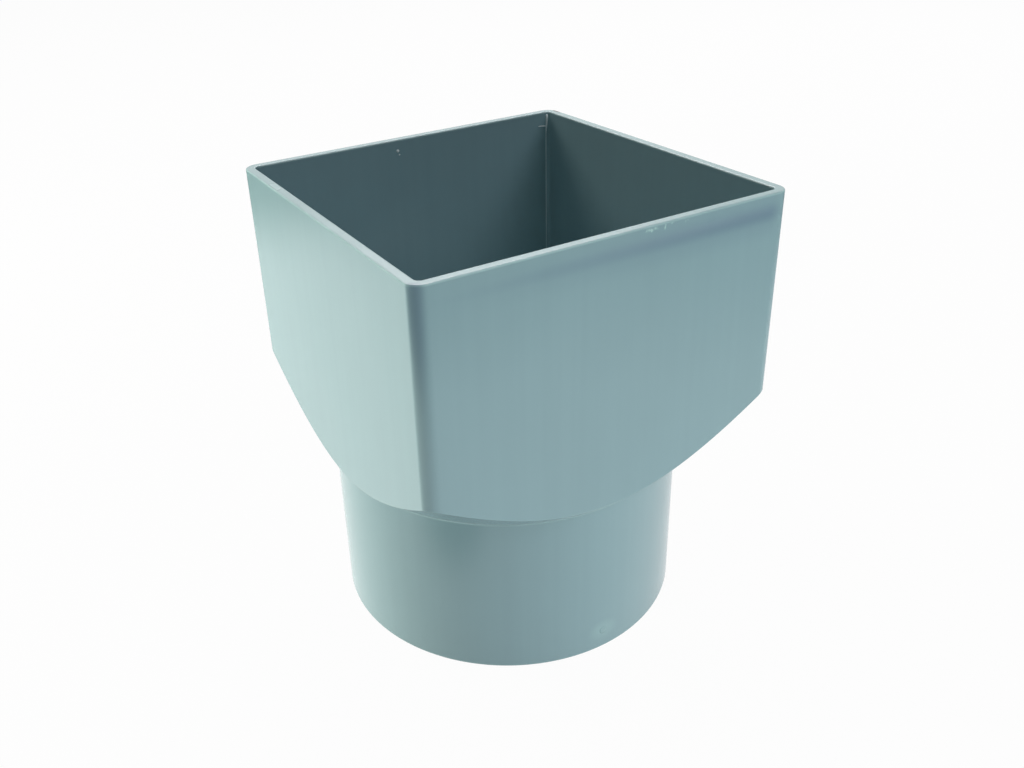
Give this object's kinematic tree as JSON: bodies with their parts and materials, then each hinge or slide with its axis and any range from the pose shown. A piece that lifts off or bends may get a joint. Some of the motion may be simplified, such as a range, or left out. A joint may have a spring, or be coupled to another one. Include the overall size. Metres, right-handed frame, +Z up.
{
  "type": "downspout adapter",
  "caption": "Thin-walled moulded rain pipe adapter: an open square socket on top, a conical funnel under its flat walls, and a plain round spigot below.",
  "frame": {"origin": "centre of the spigot's end ring, on the plane that the part stands on", "axes": "+Z up the common axis of spigot, funnel and socket, out of the socket's mouth; X and Y square to the socket's walls"},
  "size_m": [0.0844, 0.0844, 0.1],
  "materials": {
    "grey_pvc": "smooth moulded rigid PVC, cool light grey, soft gloss"
  },
  "bodies": {
    "root": {"downspout_adapter": "grey_pvc"}
  },
  "joints": []
}
